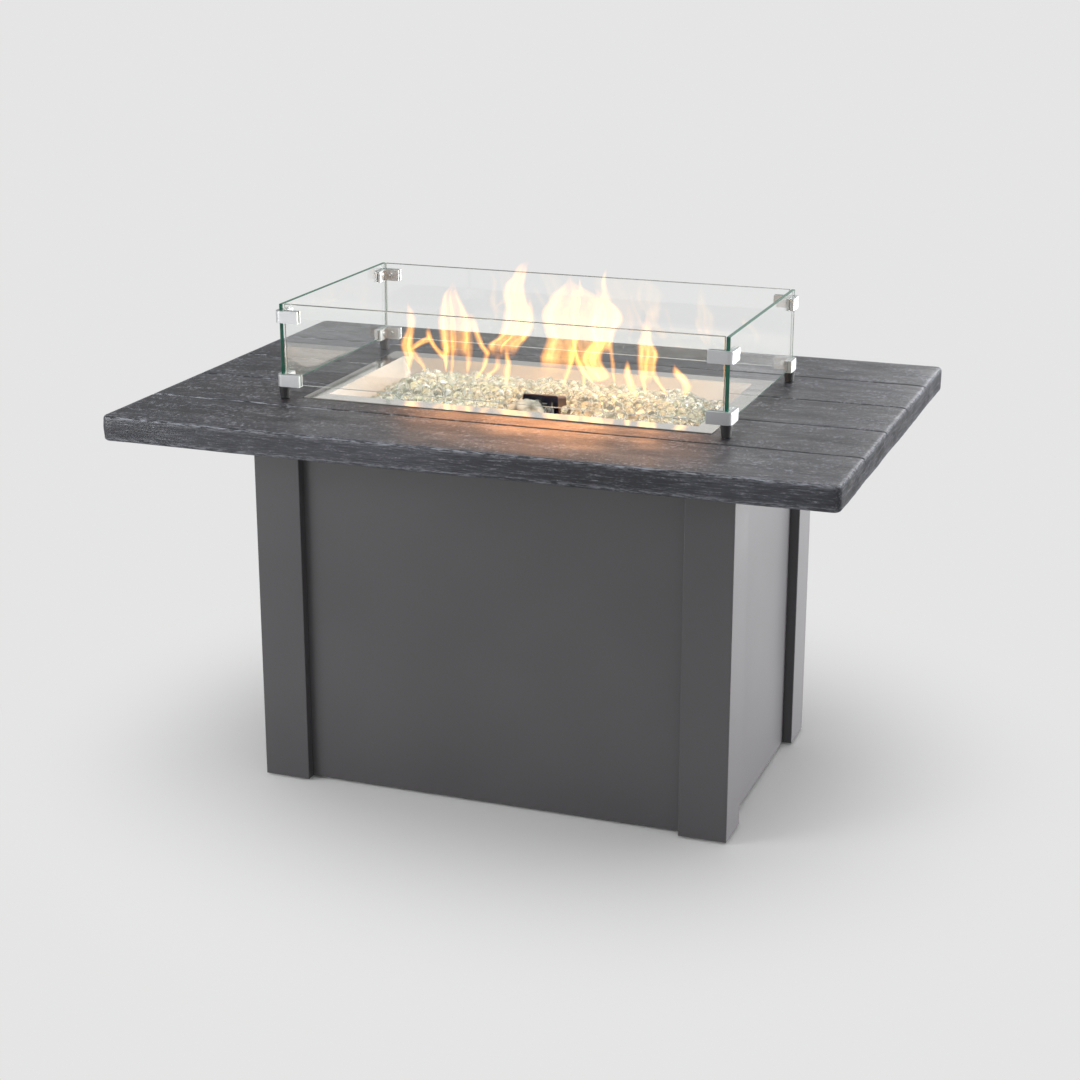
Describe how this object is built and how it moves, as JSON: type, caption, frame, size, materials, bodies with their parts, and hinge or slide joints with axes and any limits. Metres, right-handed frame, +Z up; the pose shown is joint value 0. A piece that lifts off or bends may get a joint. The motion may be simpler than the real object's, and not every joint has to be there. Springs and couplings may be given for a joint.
{
  "type": "fire pit table",
  "caption": "Rectangular gas fire pit table with a plank-cast top, folded steel base, drop-in burner, glass wind guard, rear access door and gas controls.",
  "frame": {"origin": "on the floor under the centre of the table", "axes": "+Z up, +X along the table's length to the right seen from the front, front towards -Y"},
  "size_m": [1.118, 0.762, 0.757],
  "materials": {
    "top_concrete": "fine wood grain cast in, satin sealed",
    "dark_powder_coat": "satin powder coat",
    "foot_nylon": "matte",
    "zinc_fasteners": "satin",
    "shield_steel": "galvanised",
    "stainless": "brushed",
    "heat_tinted_steel": "heat tinted",
    "sensor_steel": "satin",
    "white_ceramic": "glazed",
    "fire_glass": "clear round beads",
    "guard_glass": "clear, green polished edges",
    "clamp_silver": "satin",
    "foot_rubber": "matte",
    "brass": "machined",
    "aluminium_tube": "drawn",
    "knob_black": "satin",
    "button_black": "gloss",
    "pull_metal": "satin powder coat"
  },
  "bodies": {
    "base": {"table_top": "top_concrete", "leg_front_left": "dark_powder_coat", "leg_front_right": "dark_powder_coat", "leg_rear_left": "dark_powder_coat", "leg_rear_right": "dark_powder_coat", "panel_front": "dark_powder_coat", "panel_left": "dark_powder_coat", "panel_right": "dark_powder_coat", "rear_header": "dark_powder_coat", "rear_sill": "dark_powder_coat", "tank_tray": "dark_powder_coat", "rail_front": "dark_powder_coat", "rail_rear": "dark_powder_coat", "rail_left": "dark_powder_coat", "rail_right": "dark_powder_coat", "leveling_feet": "foot_nylon", "slab_screws": "zinc_fasteners", "hinge_frame_lower": "zinc_fasteners", "hinge_frame_upper": "zinc_fasteners", "hinge_pins": "zinc_fasteners", "plate_screws": "zinc_fasteners", "heat_shield": "shield_steel", "burner_pan": "stainless", "burner_tube": "stainless", "control_plate": "stainless", "air_mixer": "stainless", "pilot_bracket": "stainless", "igniter_hood": "heat_tinted_steel", "flame_sensor": "sensor_steel", "spark_electrode": "white_ceramic", "fire_glass": "fire_glass", "gas_valve": "brass", "gas_inlet": "brass", "gas_tube": "aluminium_tube", "igniter_module": "knob_black", "magnet_catch": "knob_black"},
    "door": {"access_door": "dark_powder_coat", "door_knob": "pull_metal", "hinge_door_lower": "zinc_fasteners", "hinge_door_upper": "zinc_fasteners", "catch_plate": "zinc_fasteners", "door_fasteners": "zinc_fasteners"},
    "guard": {"glass_front": "guard_glass", "glass_rear": "guard_glass", "glass_left": "guard_glass", "glass_right": "guard_glass", "clamp_lower_front_left": "clamp_silver", "clamp_upper_front_left": "clamp_silver", "clamp_lower_front_right": "clamp_silver", "clamp_upper_front_right": "clamp_silver", "clamp_lower_rear_left": "clamp_silver", "clamp_upper_rear_left": "clamp_silver", "clamp_lower_rear_right": "clamp_silver", "clamp_upper_rear_right": "clamp_silver", "guard_feet": "foot_rubber", "clamp_screws": "zinc_fasteners"},
    "knob_press": {"thrust_washer": "zinc_fasteners"},
    "knob": {"gas_knob": "knob_black", "valve_stem": "zinc_fasteners"},
    "button": {"igniter_button": "button_black"}
  },
  "joints": [
    {"name": "door_hinge", "type": "hinge", "parent": "base", "child": "door", "pos_m": [0.301, 0.2295, 0.29], "axis": [0, 0, -1], "range_deg": [0, 110]},
    {"name": "guard_lift", "type": "slide", "parent": "base", "child": "guard", "axis": [0, 0, 1], "range_m": [0, 0.25]},
    {"name": "knob_push", "type": "slide", "parent": "base", "child": "knob_press", "axis": [1, 0, 0], "range_m": [0, 0.003], "stiffness_N_per_m": 800},
    {"name": "knob_turn", "type": "hinge", "parent": "knob_press", "child": "knob", "pos_m": [-0.38, -0.028, 0.452], "axis": [-1, 0, 0], "range_deg": [0, 180]},
    {"name": "button_press", "type": "slide", "parent": "base", "child": "button", "axis": [1, 0, 0], "range_m": [0, 0.004], "stiffness_N_per_m": 500}
  ]
}
